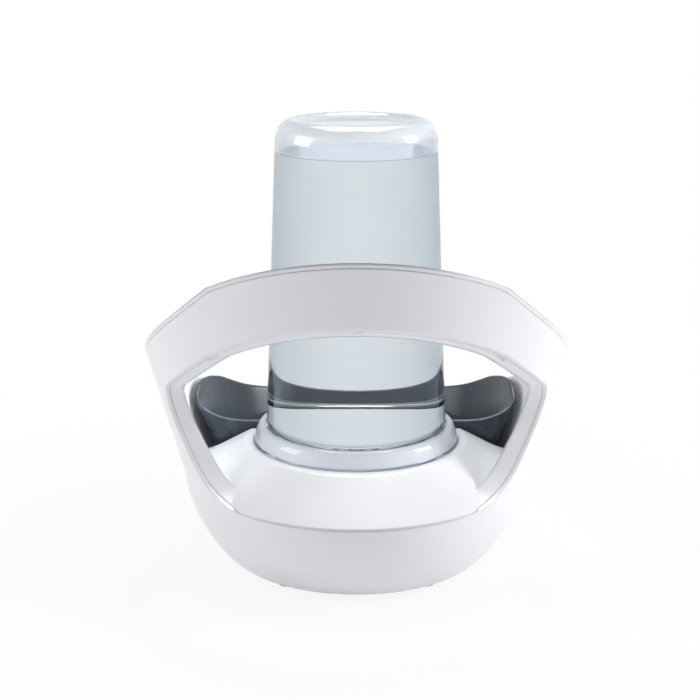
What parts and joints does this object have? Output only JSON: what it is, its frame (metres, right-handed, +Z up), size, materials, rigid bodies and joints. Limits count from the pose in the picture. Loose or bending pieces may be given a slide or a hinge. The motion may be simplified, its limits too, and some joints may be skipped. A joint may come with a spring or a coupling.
{
  "type": "pet water fountain",
  "caption": "Gravity-fed pet water fountain: a clear bottle upside down over a dark drinking bowl, in a white flared housing whose rim rises into an arch behind.",
  "frame": {"origin": "centre of the overall bounding box in plan, on the plane the feet stand on", "axes": "+Z up along the bottle, +Y towards the drinking side, +X to the right when seen from behind the arch"},
  "size_m": [0.2488, 0.2737, 0.272],
  "materials": {
    "white_plastic": "satin moulded ABS",
    "grey_rubber": "soft moulded rubber",
    "slate_plastic": "dark slate-grey moulded plastic with a soft gloss",
    "clear_plastic": "clear blow-moulded copolyester",
    "clear_collar_plastic": "clear injection-moulded plastic",
    "dark_silicone": "matt silicone",
    "valve_plastic": "natural acetal",
    "spring_steel": "stainless wire",
    "beam_aluminium": "machined bar",
    "screw_steel": "zinc plated",
    "board_laminate": "solder-masked glass laminate",
    "chip_plastic": "moulded epoxy",
    "coil_copper": "enamelled copper winding",
    "cell_steel": "plain sleeved can",
    "contact_steel": "nickel plated"
  },
  "bodies": {
    "housing": {"outer_shell": "white_plastic", "upper_housing": "white_plastic", "reader_coil": "coil_copper", "base_plate": "white_plastic", "base_screws": "screw_steel", "rubber_feet": "grey_rubber", "circuit_board": "board_laminate", "board_parts": "chip_plastic", "board_screws": "screw_steel", "batteries": "cell_steel", "battery_plates": "contact_steel", "battery_springs": "contact_steel", "load_cell": "beam_aluminium", "load_cell_screws": "screw_steel"},
    "scale_tray": {"weigh_tray": "white_plastic", "tray_screws": "screw_steel"},
    "bowl": {"drinking_bowl": "slate_plastic"},
    "reservoir": {"reservoir_bottle": "clear_plastic"},
    "collar": {"collar_cap": "clear_collar_plastic", "cap_gasket": "dark_silicone", "valve_spring": "spring_steel"},
    "valve": {"valve_stem": "valve_plastic", "valve_seal": "dark_silicone"},
    "door": {"battery_door": "white_plastic"},
    "door_lock": {"door_screw": "screw_steel"},
    "button": {"setup_button": "white_plastic"}
  },
  "joints": [
    {"name": "tray_weigh", "type": "slide", "parent": "housing", "child": "scale_tray", "axis": [0, 0, -1], "range_m": [0, 0.0003], "stiffness_N_per_m": 30000, "deforming": ["load_cell"]},
    {"name": "bowl_lift", "type": "slide", "parent": "scale_tray", "child": "bowl", "axis": [0, 0, 1], "range_m": [0, 0.1]},
    {"name": "reservoir_lift", "type": "slide", "parent": "bowl", "child": "reservoir", "axis": [0, 0, 1], "range_m": [0, 0.12]},
    {"name": "collar_turn", "type": "hinge", "parent": "reservoir", "child": "collar", "pos_m": [0, -0.00107, 0.07], "axis": [0, 0, -1], "range_deg": [0, 90]},
    {"name": "valve_close", "type": "slide", "parent": "collar", "child": "valve", "axis": [0, 0, -1], "range_m": [0, 0.003], "stiffness_N_per_m": 60, "springref_m": 0.006, "deforming": ["valve_spring"]},
    {"name": "door_off", "type": "slide", "parent": "housing", "child": "door", "axis": [0, 0, -1], "range_m": [0, 0.03]},
    {"name": "screw_turn", "type": "hinge", "parent": "door", "child": "door_lock", "pos_m": [0, 0.07503, 0.0051], "axis": [0, 0, -1], "range_deg": [0, 720]},
    {"name": "button_press", "type": "slide", "parent": "housing", "child": "button", "axis": [0, 0, 1], "range_m": [0, 0.001], "stiffness_N_per_m": 400}
  ],
  "couplings": [
    {"joint": "valve_close", "follows": "reservoir_lift", "ratio": 0.025}
  ]
}
